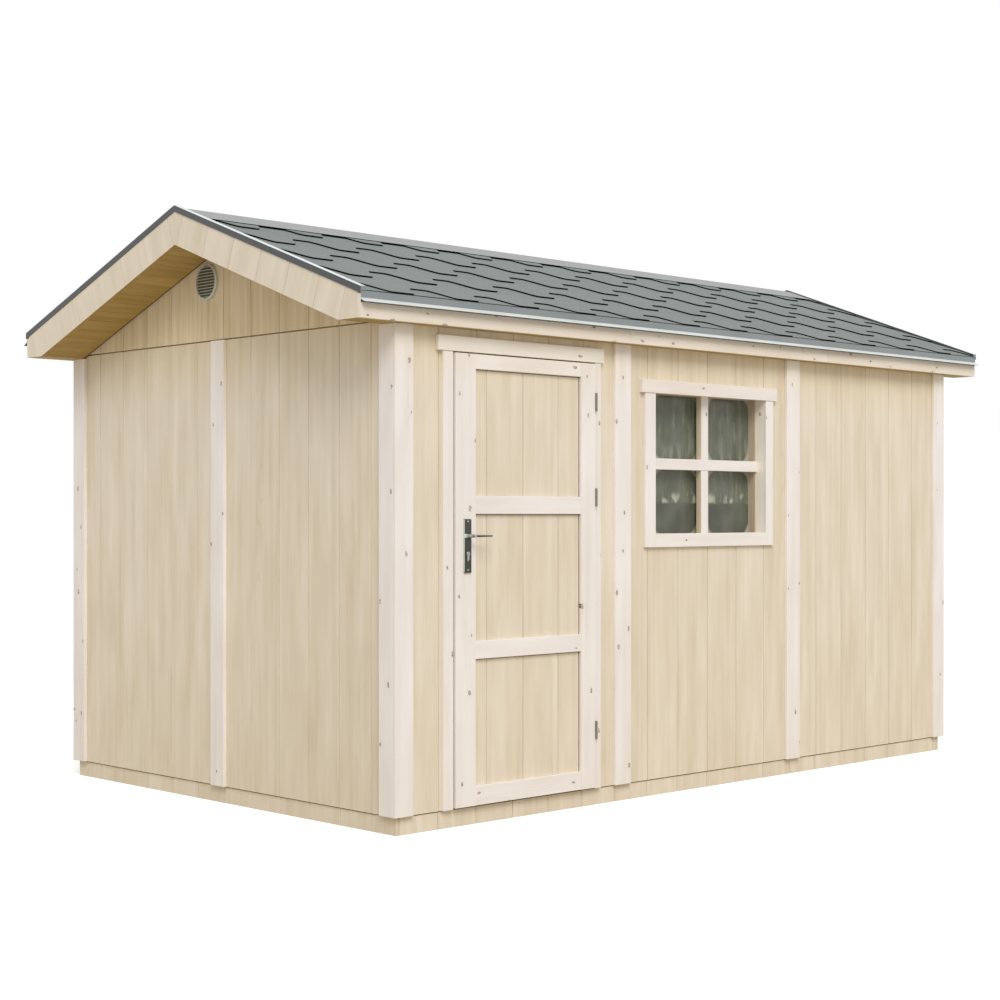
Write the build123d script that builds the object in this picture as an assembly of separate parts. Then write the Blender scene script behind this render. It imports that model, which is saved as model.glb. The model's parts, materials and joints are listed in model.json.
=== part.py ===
from build123d import *

import math
import os

# Timber garden shed with a gabled roof, a door that opens outwards and a
# fixed window.
# Millimetres, +Z up, +X along the front, the front faces -Y.
# The origin lies on the ground, under the middle of the shed.

# Plan and heights
end_panel = 1262.5
middle_panel = 1194.0
plinth_depth = 2379.0
plinth_height = 73.0
wall_height = 1933.0
plinth_board = 28.0
floor_board = 22.0
bearer_width = 45.0
bearer_count = 6
wall_proud = 6.0
wall_thickness = 95.0

# Boards planted on the walls
trim_thickness = 16.0
corner_front_width = 93.0
corner_end_width = 85.0
batten_width = 100.0

# Roof
roof_pitch = 19.72
barge_depth = 141.0
barge_level_length = 136.0
eave_drop = 12.0
eave_overhang = 76.5
gable_overhang = 235.0
barge_board = 18.0
fascia_board = 18.0
deck_board = 11.0
soffit_board = 12.0
covering_thickness = 6.0
covering_lip = 3.0
ridge_cap_width = 200.0
ridge_cap_thickness = 4.0
flashing_sheet = 3.0
flashing_leg = 24.0
flashing_upstand = 7.0
drip_drop = 34.0
drip_nose_height = 16.0
drip_nose_depth = 25.0

# Doorway, placed in the left end panel
door_left = 284.0
door_right_margin = 181.5
door_bottom_gap = 5.0
door_head_drop = 30.0
door_proud = 6.0
latch_gap = 7.0
hinge_gap = 6.0
head_gap = 6.0
door_panel_thickness = 26.0
door_rib_thickness = 14.0
latch_stile_width = 108.0
hinge_stile_width = 85.0
bottom_rail_height = 78.0
middle_rail_height = 73.0
top_rail_height = 60.0
jamb_thickness = 28.0
stop_width = 18.0
stop_depth = 20.0
stop_gap = 5.0
casing_latch_width = 52.0
casing_hinge_width = 35.0
door_board_height = 61.0
door_board_thickness = 20.0
door_board_left_lap = 29.0
door_board_right_lap = 16.0

# Hinges
hinge_low_rise = 248.0
hinge_middle_drop = 573.0
hinge_high_drop = 164.0
hinge_length = 78.0
hinge_barrel_radius = 5.0
hinge_pin_radius = 3.0
hinge_pin_length = 30.0
hinge_pin_fit = 0.06
hinge_plate = 2.4
hinge_plate_depth = 36.0
hinge_split = 0.5
hinge_stand_off = 0.3

# Door furniture
handle_inset = 60.0
lever_rise = 1092.0
handle_plate_width = 38.0
handle_plate_height = 215.0
handle_plate_drop = 148.0
handle_plate_thickness = 8.0
neck_radius = 9.0
neck_fit = 0.3
neck_length = 42.0
lever_reach = 95.0
lever_thickness = 12.0
lever_depth = 13.0
spindle_size = 8.0
spindle_hole_radius = 12.0
lock_drop = 72.0
lock_radius = 8.5
lock_body_width = 10.0
lock_body_height = 16.0
lock_fit = 0.2
lock_proud = 3.0

# Window, in the middle of the middle panel
window_margin = 210.0
window_head_drop = 144.0
window_height = 625.0
window_lining = 30.0
sash_width = 6.0
sash_setback = 47.0
glass_setback = 89.0
glass_thickness = 4.0
glass_rebate = 4.0
glass_fit = 0.3
bar_width = 50.0
bar_offset = 8.0
bar_setback = 37.0
bar_depth = 33.0
sill_lap = 10.0
head_lap = 8.0
casing_left_width = 66.0
casing_right_width = 55.0
casing_bottom_width = 61.0
window_board_height = 59.0
window_board_thickness = 20.0
window_board_lap = 25.0

# Gable vents
vent_offset = 95.0
vent_drop = 271.0
vent_flange_radius = 81.0
vent_flange_thickness = 13.0
vent_pipe_radius = 62.0
vent_pipe_wall = 4.0
vent_fit = 0.3
vent_grille_setback = 4.0
vent_grille_thickness = 6.0

# Worked out
half_length = end_panel + middle_panel / 2
half_depth = plinth_depth / 2
rise = math.tan(math.radians(roof_pitch))
upright = 1 / math.cos(math.radians(roof_pitch))
wall_end = half_length + wall_proud
wall_side = half_depth + wall_proud
inner_end = wall_end - wall_thickness
inner_side = wall_side - wall_thickness
trim_end = wall_end + trim_thickness
trim_side = wall_side + trim_thickness
eave_y = half_depth + eave_overhang
gable_joint_height = plinth_height + wall_height
eave_cut_height = gable_joint_height - eave_drop
level_cut_y = eave_y - barge_level_length
ridge_timber_height = eave_cut_height + barge_depth + rise * level_cut_y
vent_height = ridge_timber_height - vent_drop
barge_x = half_length + gable_overhang
deck_top = deck_board * upright
covering_top = deck_top + covering_thickness * upright
door_x0 = door_left - half_length
door_x1 = -middle_panel / 2 - door_right_margin
door_z0 = plinth_height + door_bottom_gap
head_z = eave_cut_height - door_head_drop - door_board_height
door_z1 = head_z - head_gap
door_height = door_z1 - door_z0
jamb_x0 = door_x0 - latch_gap
jamb_x1 = door_x1 + hinge_gap
door_face = -trim_side - door_proud
door_ribs_back = door_face + door_rib_thickness
door_back = door_ribs_back + door_panel_thickness
hinge_heights = (door_z0 + hinge_low_rise, door_z1 - hinge_middle_drop, door_z1 - hinge_high_drop)
hinge_x = door_x1 + hinge_gap / 2
hinge_y = door_face - hinge_barrel_radius - hinge_stand_off
joint_x = middle_panel / 2
window_x0 = window_margin - joint_x
window_x1 = joint_x - window_margin
window_z1 = eave_cut_height - window_head_drop - window_board_height
window_bottom = window_z1 - window_height
lining_z0 = window_bottom - sill_lap
lining_z1 = window_z1 + head_lap
lever_height = plinth_height + lever_rise
spindle_x = door_x0 + handle_inset
lock_z = lever_height - lock_drop


def block(x0, x1, y0, y1, z0, z1):
    """A box between two corners."""
    size = Box(x1 - x0, y1 - y0, z1 - z0)
    return Pos((x0 + x1) / 2, (y0 + y1) / 2, (z0 + z1) / 2) * size


def across(points, x0, x1):
    """A (y, z) outline carried along X from x0 to x1."""
    outline = make_face(Polyline(*[(x0, y, z) for y, z in points], close=True))
    return extrude(outline, amount=x1 - x0, dir=(1, 0, 0))


def along_y(radius, x, z, y0, y1):
    """A round bar along Y."""
    bar = Cylinder(radius, y1 - y0)
    return Pos(x, (y0 + y1) / 2, z) * Rot(90, 0, 0) * bar


def along_x(radius, y, z, x0, x1):
    """A round bar along X."""
    bar = Cylinder(radius, x1 - x0)
    return Pos((x0 + x1) / 2, y, z) * Rot(0, 90, 0) * bar


def upright_bar(radius, x, y, z0, z1):
    """A round bar along Z."""
    return Pos(x, y, (z0 + z1) / 2) * Cylinder(radius, z1 - z0)


def turned(shape):
    """The same shape at the opposite end and side of the shed."""
    return Rot(0, 0, 180) * shape


def mirrored_end(shape):
    """The same shape at the other gable."""
    return mirror(shape, about=Plane.YZ)


def mirrored_side(shape):
    """The same shape on the other long side."""
    return mirror(shape, about=Plane.XZ)


def timber_z(y):
    """Height of the roof timber's top plane at a distance from the ridge."""
    return ridge_timber_height - rise * abs(y)


def barge_z(y):
    """Height of the barge board's lower edge, cut level at the eaves."""
    return max(timber_z(y) - barge_depth, eave_cut_height)


def slope_band(y0, y1, low, high):
    """A (y, z) strip of one roof slope, between two heights over the timber."""
    return [
        (y0, timber_z(y0) + low),
        (y1, timber_z(y1) + low),
        (y1, timber_z(y1) + high),
        (y0, timber_z(y0) + high),
    ]


def gable_band(y, low, high):
    """A (y, z) strip over both roof slopes, between two heights."""
    return [
        (-y, timber_z(y) + low),
        (0, timber_z(0) + low),
        (y, timber_z(y) + low),
        (y, timber_z(y) + high),
        (0, timber_z(0) + high),
        (-y, timber_z(y) + high),
    ]


def make_plinth_long_boards():
    board = block(-half_length, half_length, -half_depth, -half_depth + plinth_board, 0, plinth_height)
    return [board, mirrored_side(board)]


def make_plinth_end_boards():
    side = half_depth - plinth_board
    board = block(-half_length, -half_length + plinth_board, -side, side, 0, plinth_height)
    return [board, mirrored_end(board)]


def make_floor():
    end = half_length - plinth_board
    side = half_depth - plinth_board
    return [block(-end, end, -side, side, plinth_height - floor_board, plinth_height)]


def make_floor_bearers():
    end = half_length - plinth_board
    side = half_depth - plinth_board
    top = plinth_height - floor_board
    pitch = (2 * end - bearer_width) / (bearer_count - 1)
    starts = [-end + number * pitch for number in range(bearer_count)]
    return [block(x, x + bearer_width, -side, side, 0, top) for x in starts]


def long_wall(x0, x1, z0):
    """A piece of the front wall, its top cut to the roof slope."""
    outline = [
        (-wall_side, z0),
        (-inner_side, z0),
        (-inner_side, timber_z(inner_side)),
        (-wall_side, timber_z(wall_side)),
    ]
    return across(outline, x0, x1)


def make_front_wall_left():
    return [long_wall(-wall_end, jamb_x0 - jamb_thickness, plinth_height)]


def make_front_wall_over_door():
    return [long_wall(jamb_x0 - jamb_thickness, jamb_x1 + jamb_thickness, head_z + jamb_thickness)]


def make_front_wall_window():
    wall = long_wall(jamb_x1 + jamb_thickness, joint_x, plinth_height)
    hole = block(
        window_x0 - window_lining,
        window_x1 + window_lining,
        -wall_side,
        -inner_side,
        lining_z0 - window_lining,
        lining_z1 + window_lining,
    )
    return [wall - hole]


def make_front_wall_right():
    return [long_wall(joint_x, wall_end, plinth_height)]


def make_back_wall():
    return [mirrored_side(long_wall(-wall_end, wall_end, plinth_height))]


def make_left_wall():
    return [block(-wall_end, -inner_end, -inner_side, inner_side, plinth_height, gable_joint_height)]


def make_left_gable():
    outline = [
        (-inner_side, gable_joint_height),
        (inner_side, gable_joint_height),
        (inner_side, timber_z(inner_side)),
        (0, timber_z(0)),
        (-inner_side, timber_z(inner_side)),
    ]
    panel = across(outline, -wall_end, -inner_end)
    return [panel - along_x(vent_pipe_radius + vent_fit, vent_offset, vent_height, -wall_end, -inner_end)]


def make_gable_vent():
    pipe = along_x(vent_pipe_radius, vent_offset, vent_height, -wall_end, -inner_end)
    flange_face = -wall_end - vent_flange_thickness
    flange = along_x(vent_flange_radius, vent_offset, vent_height, flange_face, -wall_end)
    bore = vent_pipe_radius - vent_pipe_wall
    outer_bore = along_x(bore, vent_offset, vent_height, flange_face, flange_face + vent_grille_setback)
    grille_back = flange_face + vent_grille_setback + vent_grille_thickness
    inner_bore = along_x(bore, vent_offset, vent_height, grille_back, -inner_end)
    return pipe + flange - outer_bore - inner_bore


def make_gable_vents():
    vent = make_gable_vent()
    return [vent, mirrored_end(vent)]


def make_corner_boards_front():
    board = block(
        -trim_end,
        -trim_end + corner_front_width,
        -trim_side,
        -wall_side,
        plinth_height,
        eave_cut_height,
    )
    return [board, mirrored_end(board)]


def make_corner_boards_end():
    board = block(
        -trim_end,
        -wall_end,
        -wall_side,
        -wall_side + corner_end_width,
        plinth_height,
        eave_cut_height,
    )
    others = [mirrored_end(board), mirrored_side(board), turned(board)]
    return [board] + others


def make_front_battens():
    boards = []
    for x in (-joint_x, joint_x):
        left = x - batten_width / 2
        right = x + batten_width / 2
        boards.append(block(left, right, -trim_side, -wall_side, plinth_height, eave_cut_height))
    return boards


def make_end_battens():
    half = batten_width / 2
    board = block(-trim_end, -wall_end, -half, half, plinth_height, gable_joint_height)
    return [board, mirrored_end(board)]


def make_roof_deck():
    return across(slope_band(-eave_y, 0, 0, deck_top), -barge_x, barge_x)


def make_roof_covering():
    edge = eave_y + flashing_sheet + covering_lip
    return across(slope_band(-edge, 0, deck_top, covering_top), -barge_x, barge_x)


def make_ridge_cap():
    half = ridge_cap_width / upright
    end = barge_x + flashing_sheet - flashing_leg
    thickness = ridge_cap_thickness * upright
    return [across(gable_band(half, covering_top, covering_top + thickness), -end, end)]


def make_eave_fascias():
    inner = eave_y - fascia_board
    outline = [
        (-eave_y, eave_cut_height),
        (-inner, eave_cut_height),
        (-inner, timber_z(inner)),
        (-eave_y, timber_z(eave_y)),
    ]
    board = across(outline, -barge_x, barge_x)
    return [board, mirrored_side(board)]


def make_barge_boards():
    inner = eave_y - fascia_board
    outline = [
        (0, timber_z(0) - barge_depth),
        (-level_cut_y, eave_cut_height),
        (-inner, eave_cut_height),
        (-inner, timber_z(inner)),
        (0, timber_z(0)),
    ]
    board = across(outline, -barge_x, -barge_x + barge_board)
    return [board, mirrored_end(board)]


def make_gable_soffits():
    """The linings under the front slope's overhang at both gables."""
    inner = eave_y - fascia_board
    thickness = soffit_board * upright
    low = [(-inner, eave_cut_height), (-level_cut_y, eave_cut_height), (0, barge_z(0))]
    high = [(y, z + thickness) for y, z in reversed(low)]
    lining = across(low + high, -barge_x + barge_board, -wall_end)
    return [lining, mirrored_end(lining)]


def make_eave_soffits():
    inner = eave_y - fascia_board
    top = eave_cut_height + soffit_board * upright
    board = block(-wall_end, wall_end, -inner, -wall_side, eave_cut_height, top)
    return [board, mirrored_side(board)]


def make_gable_flashings():
    outer = barge_x + flashing_sheet
    edge = eave_y + flashing_sheet + covering_lip
    top = covering_top + (flashing_upstand + flashing_sheet) * upright
    face = across(gable_band(edge, 0, top), -outer, -barge_x)
    leg = across(gable_band(edge, covering_top, top), -outer, -outer + flashing_leg)
    strip = face + leg
    return [strip, mirrored_end(strip)]


def make_drip_edges():
    face_y = eave_y + flashing_sheet
    low = timber_z(eave_y) - drip_drop
    top = timber_z(eave_y) + deck_top - rise * flashing_sheet
    outline = [
        (-eave_y, low),
        (-eave_y, top),
        (-face_y, top),
        (-face_y, low + drip_nose_height),
        (-face_y - drip_nose_depth, low),
    ]
    strip = across(outline, -barge_x, barge_x)
    return [strip, mirrored_side(strip)]


def make_door_frame():
    """Two jambs and a head through the wall, with stops behind the leaf."""
    outer = block(
        jamb_x0 - jamb_thickness,
        jamb_x1 + jamb_thickness,
        -wall_side,
        -inner_side,
        plinth_height,
        head_z + jamb_thickness,
    )
    clear = block(jamb_x0, jamb_x1, -wall_side, -inner_side, plinth_height, head_z)
    stop_y0 = door_back + stop_gap
    stop_y1 = stop_y0 + stop_depth
    stop = block(jamb_x0, jamb_x1, stop_y0, stop_y1, plinth_height, head_z)
    way = block(
        jamb_x0 + stop_width,
        jamb_x1 - stop_width,
        stop_y0,
        stop_y1,
        plinth_height,
        head_z - stop_width,
    )
    return [outer - clear + (stop - way)]


def make_door_casings():
    latch_side = block(
        jamb_x0 - casing_latch_width,
        jamb_x0,
        -trim_side,
        -wall_side,
        plinth_height,
        head_z,
    )
    hinge_side = block(
        jamb_x1,
        jamb_x1 + casing_hinge_width,
        -trim_side,
        -wall_side,
        plinth_height,
        head_z,
    )
    return [latch_side, hinge_side]


def make_door_head_board():
    left = jamb_x0 - casing_latch_width - door_board_left_lap
    right = jamb_x1 + casing_hinge_width + door_board_right_lap
    front = -wall_side - door_board_thickness
    return [block(left, right, front, -wall_side, head_z, head_z + door_board_height)]


def spindle_hole():
    return along_y(spindle_hole_radius, spindle_x, lever_height, door_face, door_back)


def lock_profile(y0, y1, grow):
    """The profile lock cylinder: a round key end over a narrower body."""
    round_end = along_y(lock_radius + grow, spindle_x, lock_z, y0, y1)
    half = lock_body_width / 2 + grow
    body = block(spindle_x - half, spindle_x + half, y0, y1, lock_z - lock_radius - lock_body_height, lock_z)
    return round_end + body


def make_door_panel():
    panel = block(door_x0, door_x1, door_ribs_back, door_back, door_z0, door_z1)
    return [panel - spindle_hole() - lock_profile(door_face, door_back, lock_fit)]


def make_door_stiles():
    latch = block(door_x0, door_x0 + latch_stile_width, door_face, door_ribs_back, door_z0, door_z1)
    latch -= spindle_hole()
    latch -= lock_profile(door_face, door_back, lock_fit)
    hinge = block(door_x1 - hinge_stile_width, door_x1, door_face, door_ribs_back, door_z0, door_z1)
    return [latch, hinge]


def rail_bands():
    """The (bottom, top) of each rail, with equal panels between them."""
    rails = [bottom_rail_height, middle_rail_height, middle_rail_height, top_rail_height]
    gap = (door_height - sum(rails)) / (len(rails) - 1)
    bands = []
    low = door_z0
    for height in rails:
        bands.append((low, low + height))
        low += height + gap
    return bands


def make_door_rails():
    left = door_x0 + latch_stile_width
    right = door_x1 - hinge_stile_width
    return [block(left, right, door_face, door_ribs_back, low, high) for low, high in rail_bands()]


def make_frame_hinges():
    """The lower halves, each with its pin, on the frame."""
    halves = []
    for middle in hinge_heights:
        low = middle - hinge_length / 2
        barrel = upright_bar(hinge_barrel_radius, hinge_x, hinge_y, low, middle)
        pin = upright_bar(hinge_pin_radius, hinge_x, hinge_y, middle, middle + hinge_pin_length)
        plate = block(jamb_x1 - hinge_plate, jamb_x1, hinge_y, hinge_y + hinge_plate_depth, low, middle)
        halves.append(barrel + pin + plate)
    return halves


def make_door_hinges():
    """The upper halves, each bored for the pin, on the door."""
    halves = []
    for middle in hinge_heights:
        low = middle + hinge_split
        high = middle + hinge_length / 2
        barrel = upright_bar(hinge_barrel_radius, hinge_x, hinge_y, low, high)
        plate = block(door_x1, door_x1 + hinge_plate, hinge_y, hinge_y + hinge_plate_depth, low, high)
        bore_top = middle + hinge_pin_length + hinge_split
        bore = upright_bar(hinge_pin_radius + hinge_pin_fit, hinge_x, hinge_y, low, bore_top)
        halves.append(barrel + plate - bore)
    return halves


def handle_plate(y0, y1):
    half = handle_plate_width / 2
    low = lever_height - handle_plate_drop
    plate = block(spindle_x - half, spindle_x + half, y0, y1, low, low + handle_plate_height)
    plate -= along_y(neck_radius + neck_fit, spindle_x, lever_height, y0, y1)
    return plate - lock_profile(y0, y1, lock_fit)


def make_handle_plates():
    outside = handle_plate(door_face - handle_plate_thickness, door_face)
    inside = handle_plate(door_back, door_back + handle_plate_thickness)
    return [outside, inside]


def make_outside_lever():
    tip = door_face - neck_length
    neck = along_y(neck_radius, spindle_x, lever_height, tip, door_face)
    grip = block(
        spindle_x - neck_radius,
        spindle_x + lever_reach,
        tip - lever_thickness,
        tip,
        lever_height - lever_depth / 2,
        lever_height + lever_depth / 2,
    )
    return [neck + grip]


def make_inside_lever():
    tip = door_back + neck_length
    neck = along_y(neck_radius, spindle_x, lever_height, door_back, tip)
    grip = block(
        spindle_x - neck_radius,
        spindle_x + lever_reach,
        tip,
        tip + lever_thickness,
        lever_height - lever_depth / 2,
        lever_height + lever_depth / 2,
    )
    return [neck + grip]


def make_spindle():
    half = spindle_size / 2
    return [block(
        spindle_x - half,
        spindle_x + half,
        door_face,
        door_back,
        lever_height - half,
        lever_height + half,
    )]


def make_lock_cylinder():
    reach = handle_plate_thickness + lock_proud
    return [lock_profile(door_face - reach, door_back + reach, 0)]


def make_window_frame():
    """The lining through the wall, with the fixed sash that holds the pane, behind the casing's edges."""
    outer = block(
        window_x0 - window_lining,
        window_x1 + window_lining,
        -wall_side,
        -inner_side,
        lining_z0 - window_lining,
        lining_z1 + window_lining,
    )
    clear = block(window_x0, window_x1, -wall_side, -inner_side, lining_z0, lining_z1)
    sash = block(window_x0, window_x1, sash_front(), -inner_side, lining_z0, lining_z1)
    sight = block(
        window_x0 + sash_width,
        window_x1 - sash_width,
        sash_front(),
        -inner_side,
        lining_z0 + sash_width,
        lining_z1 - sash_width,
    )
    return [outer - clear + (sash - sight - pane(glass_front(), -inner_side, glass_fit))]


def sash_front():
    return -wall_side + sash_setback


def glass_front():
    return -wall_side + glass_setback


def pane(y0, y1, grow):
    """The glass and, grown by its fit, the rebate that it lies in."""
    edge = sash_width - glass_rebate - grow
    return block(
        window_x0 + edge,
        window_x1 - edge,
        y0,
        y1,
        lining_z0 + edge,
        lining_z1 - edge,
    )


def make_window_glass():
    return [pane(glass_front(), glass_front() + glass_thickness, 0)]


def bar_cross(y0, y1, inset):
    """An upright and a level glazing bar that cross near the middle of the opening."""
    middle_x = (window_x0 + window_x1) / 2 + bar_offset
    middle_z = (window_bottom + window_z1) / 2
    half = bar_width / 2
    upright_part = block(
        middle_x - half,
        middle_x + half,
        y0,
        y1,
        lining_z0 + inset,
        lining_z1 - inset,
    )
    level_part = block(
        window_x0 + inset,
        window_x1 - inset,
        y0,
        y1,
        middle_z - half,
        middle_z + half,
    )
    return upright_part + level_part


def make_window_bars():
    front = -wall_side + bar_setback
    back = front + bar_depth
    return [bar_cross(front, sash_front(), 0) + bar_cross(sash_front(), back, sash_width)]


def make_window_casing():
    """The boards at both sides of the window and under it."""
    outer = block(
        window_x0 - casing_left_width,
        window_x1 + casing_right_width,
        -trim_side,
        -wall_side,
        window_bottom - casing_bottom_width,
        window_z1,
    )
    clear = block(window_x0, window_x1, -trim_side, -wall_side, window_bottom, window_z1)
    return [outer - clear]


def make_window_head_board():
    left = window_x0 - casing_left_width - window_board_lap
    right = window_x1 + casing_right_width + window_board_lap
    front = -wall_side - window_board_thickness
    return [block(left, right, front, -wall_side, window_z1, window_z1 + window_board_height)]


def save(name, solids):
    """Write one named node from a list of solids that don't touch."""
    shape = solids[0] if len(solids) == 1 else Compound(children=solids)
    export_step(shape, os.path.join("parts", name + ".step"))


def main():
    os.makedirs("parts", exist_ok=True)
    deck = make_roof_deck()
    covering = make_roof_covering()
    barges = make_barge_boards()
    soffits = make_gable_soffits()
    front_corners = make_corner_boards_front()
    front_battens = make_front_battens()
    nodes = {
        "plinth_long_boards": make_plinth_long_boards(),
        "plinth_end_boards": make_plinth_end_boards(),
        "floor": make_floor(),
        "floor_bearers": make_floor_bearers(),
        "front_wall_left": make_front_wall_left(),
        "front_wall_over_door": make_front_wall_over_door(),
        "front_wall_window": make_front_wall_window(),
        "front_wall_right": make_front_wall_right(),
        "back_wall": make_back_wall(),
        "left_wall": make_left_wall(),
        "right_wall": [mirrored_end(wall) for wall in make_left_wall()],
        "left_gable": make_left_gable(),
        "right_gable": [mirrored_end(wall) for wall in make_left_gable()],
        "gable_vents": make_gable_vents(),
        "front_corner_boards": front_corners,
        "back_corner_boards": [mirrored_side(board) for board in front_corners],
        "end_corner_boards": make_corner_boards_end(),
        "front_battens": front_battens,
        "back_battens": [mirrored_side(board) for board in front_battens],
        "end_battens": make_end_battens(),
        "roof_deck_front": [deck],
        "roof_deck_back": [mirrored_side(deck)],
        "roof_covering_front": [covering],
        "roof_covering_back": [mirrored_side(covering)],
        "ridge_cap": make_ridge_cap(),
        "eave_fascias": make_eave_fascias(),
        "front_barge_boards": barges,
        "back_barge_boards": [mirrored_side(board) for board in barges],
        "front_gable_soffits": soffits,
        "back_gable_soffits": [mirrored_side(lining) for lining in soffits],
        "eave_soffits": make_eave_soffits(),
        "gable_flashings": make_gable_flashings(),
        "drip_edges": make_drip_edges(),
        "door_frame": make_door_frame(),
        "door_casings": make_door_casings(),
        "door_head_board": make_door_head_board(),
        "frame_hinges": make_frame_hinges(),
        "door_panel": make_door_panel(),
        "door_stiles": make_door_stiles(),
        "door_rails": make_door_rails(),
        "door_hinges": make_door_hinges(),
        "handle_plates": make_handle_plates(),
        "lock_cylinder": make_lock_cylinder(),
        "outside_lever": make_outside_lever(),
        "inside_lever": make_inside_lever(),
        "spindle": make_spindle(),
        "window_frame": make_window_frame(),
        "window_bars": make_window_bars(),
        "window_glass": make_window_glass(),
        "window_casing": make_window_casing(),
        "window_head_board": make_window_head_board(),
    }
    for name, solids in nodes.items():
        save(name, solids)
    hinge_pin = (round(hinge_x, 2), round(hinge_y, 2))
    print("nodes", len(nodes), "hinge axis", hinge_pin, "lever axis", (spindle_x, lever_height))


main()
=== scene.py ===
import json
import random
from math import ceil, copysign, cos, floor, pi, radians, sin, sqrt, tan

import bmesh
import bpy
from mathutils import Matrix, Vector

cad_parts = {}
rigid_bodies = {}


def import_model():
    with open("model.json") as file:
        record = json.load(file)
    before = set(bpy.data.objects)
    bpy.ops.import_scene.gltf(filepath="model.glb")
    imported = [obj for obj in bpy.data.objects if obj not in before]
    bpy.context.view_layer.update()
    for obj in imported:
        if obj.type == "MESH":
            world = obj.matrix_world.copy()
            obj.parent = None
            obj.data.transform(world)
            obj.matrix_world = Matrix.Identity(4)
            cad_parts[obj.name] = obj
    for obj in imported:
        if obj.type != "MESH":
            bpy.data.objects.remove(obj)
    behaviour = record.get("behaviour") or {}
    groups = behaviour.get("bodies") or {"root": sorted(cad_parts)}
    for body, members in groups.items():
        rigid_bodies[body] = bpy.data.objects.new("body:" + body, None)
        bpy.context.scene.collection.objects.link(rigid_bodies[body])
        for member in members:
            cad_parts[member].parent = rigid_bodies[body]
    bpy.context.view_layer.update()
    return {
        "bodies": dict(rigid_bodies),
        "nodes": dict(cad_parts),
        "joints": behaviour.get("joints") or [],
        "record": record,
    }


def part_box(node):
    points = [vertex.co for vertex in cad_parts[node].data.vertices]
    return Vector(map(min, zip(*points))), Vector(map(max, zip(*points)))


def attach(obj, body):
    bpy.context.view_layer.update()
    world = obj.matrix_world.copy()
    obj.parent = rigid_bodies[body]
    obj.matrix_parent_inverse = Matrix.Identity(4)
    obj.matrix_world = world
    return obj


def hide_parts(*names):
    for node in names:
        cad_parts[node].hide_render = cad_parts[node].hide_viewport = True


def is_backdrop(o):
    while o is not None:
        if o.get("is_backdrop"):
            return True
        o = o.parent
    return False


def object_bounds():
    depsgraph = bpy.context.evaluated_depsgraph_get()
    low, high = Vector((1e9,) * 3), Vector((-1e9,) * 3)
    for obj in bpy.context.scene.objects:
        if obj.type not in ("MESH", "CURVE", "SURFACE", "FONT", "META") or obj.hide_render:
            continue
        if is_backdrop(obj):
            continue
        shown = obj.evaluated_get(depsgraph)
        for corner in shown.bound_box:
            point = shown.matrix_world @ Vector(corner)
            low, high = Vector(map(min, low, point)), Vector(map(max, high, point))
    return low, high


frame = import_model()
nodes = frame["nodes"]
draws = random.Random(11)

# Metres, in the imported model's frame: +X along the front, the front faces -Y.
X_AXIS = Vector((1, 0, 0))
Y_AXIS = Vector((0, 1, 0))
Z_AXIS = Vector((0, 0, 1))

# Board joints
BOARD_PITCH = 0.2033
LONG_JOINT = -1.8484
END_JOINT = -1.0435
GROOVE_HALF = 0.0021
GROOVE_DEPTH = 0.009
SKIN = 0.019
EDGE = 0.0018
EASED_SHARE = 0.3
TINY = 1e-5
WELD = 1e-6

# Roof, as in the part's source
ROOF_PITCH = radians(19.72)
DECK = 0.011
COVERING = 0.006
BARGE_DEPTH = 0.141

# One knot may stand in each cell of this size, along and across a board
KNOT_CELL = (0.19, 0.075)

slope_cos = cos(ROOF_PITCH)
slope_sin = sin(ROOF_PITCH)
rise = tan(ROOF_PITCH)
ridge_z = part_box("left_gable")[1].z
eave_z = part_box("eave_fascias")[0].z
barge_x, eave_y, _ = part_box("eave_fascias")[1]
wall_end, wall_side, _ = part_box("back_wall")[1]
inner_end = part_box("right_wall")[0].x
inner_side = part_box("right_wall")[1].y

# Window
window_low, window_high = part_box("window_frame")
LINING = 0.030
SASH = 0.006
sash_front = -wall_side + 0.047
BAR = 0.050
BAR_OFFSET = 0.008
BAR_STRIP = 0.002
STRIP_SETBACK = 0.0045
CASING_BOTTOM = 0.061
casing_low, casing_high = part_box("window_casing")
sill_z = casing_low.z + CASING_BOTTOM
bar_x = (window_low.x + window_high.x) / 2 + BAR_OFFSET
bar_z = (sill_z + casing_high.z) / 2
PANE_HALF = 0.147

# Painted reflections on the panes: their pale corners, and where the reflected blots begin below the bar
REFLECTION_CORNER_X = 0.0465
REFLECTION_CORNER_OFFSET = 0.1865
REFLECTION_CORNER_HALF = 0.145
REFLECTION_BLOT_DROP = 0.145


def stand(name, data):
    """A new object in the scene."""
    thing = bpy.data.objects.new(name, data)
    bpy.context.scene.collection.objects.link(thing)
    return thing


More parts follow.
